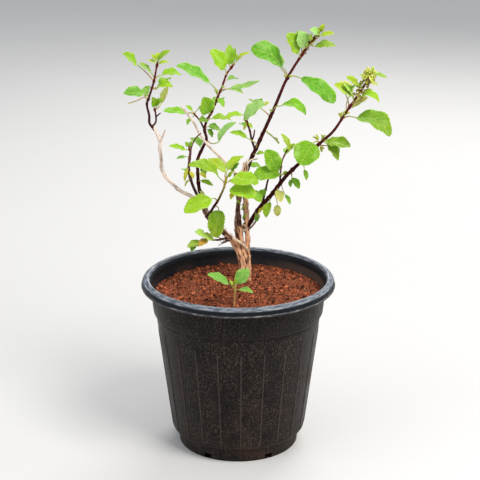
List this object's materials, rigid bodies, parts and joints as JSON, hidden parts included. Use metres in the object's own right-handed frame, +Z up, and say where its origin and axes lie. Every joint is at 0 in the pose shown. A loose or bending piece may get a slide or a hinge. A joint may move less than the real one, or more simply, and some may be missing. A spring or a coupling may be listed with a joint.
{
  "type": "potted holy basil plant",
  "caption": "Young holy basil plant with woody branching stems, toothed oval leaves and a flower spike, growing in soil in a round black ribbed nursery pot.",
  "frame": {"origin": "middle of the pot's foot, on the ground", "axes": "+Z up the pot's axis; the plant's front, with the seedling before the trunk, faces -Y and +X is to its right"},
  "size_m": [0.2687, 0.2034, 0.4422],
  "materials": {
    "pot": "satin",
    "soil": "matte",
    "bark": "matte",
    "stem": "satin",
    "leaf": "satin",
    "bract": "satin"
  },
  "bodies": {
    "root": {"pot": "pot", "soil": "soil", "trunk": "bark", "tall_stem": "leaf", "right_stem": "leaf", "left_stem": "leaf", "middle_stem": "leaf", "gnarled_stem": "leaf", "centre_shoot": "leaf", "front_shoot": "leaf", "low_shoot": "leaf", "seedling": "leaf"}
  },
  "joints": []
}
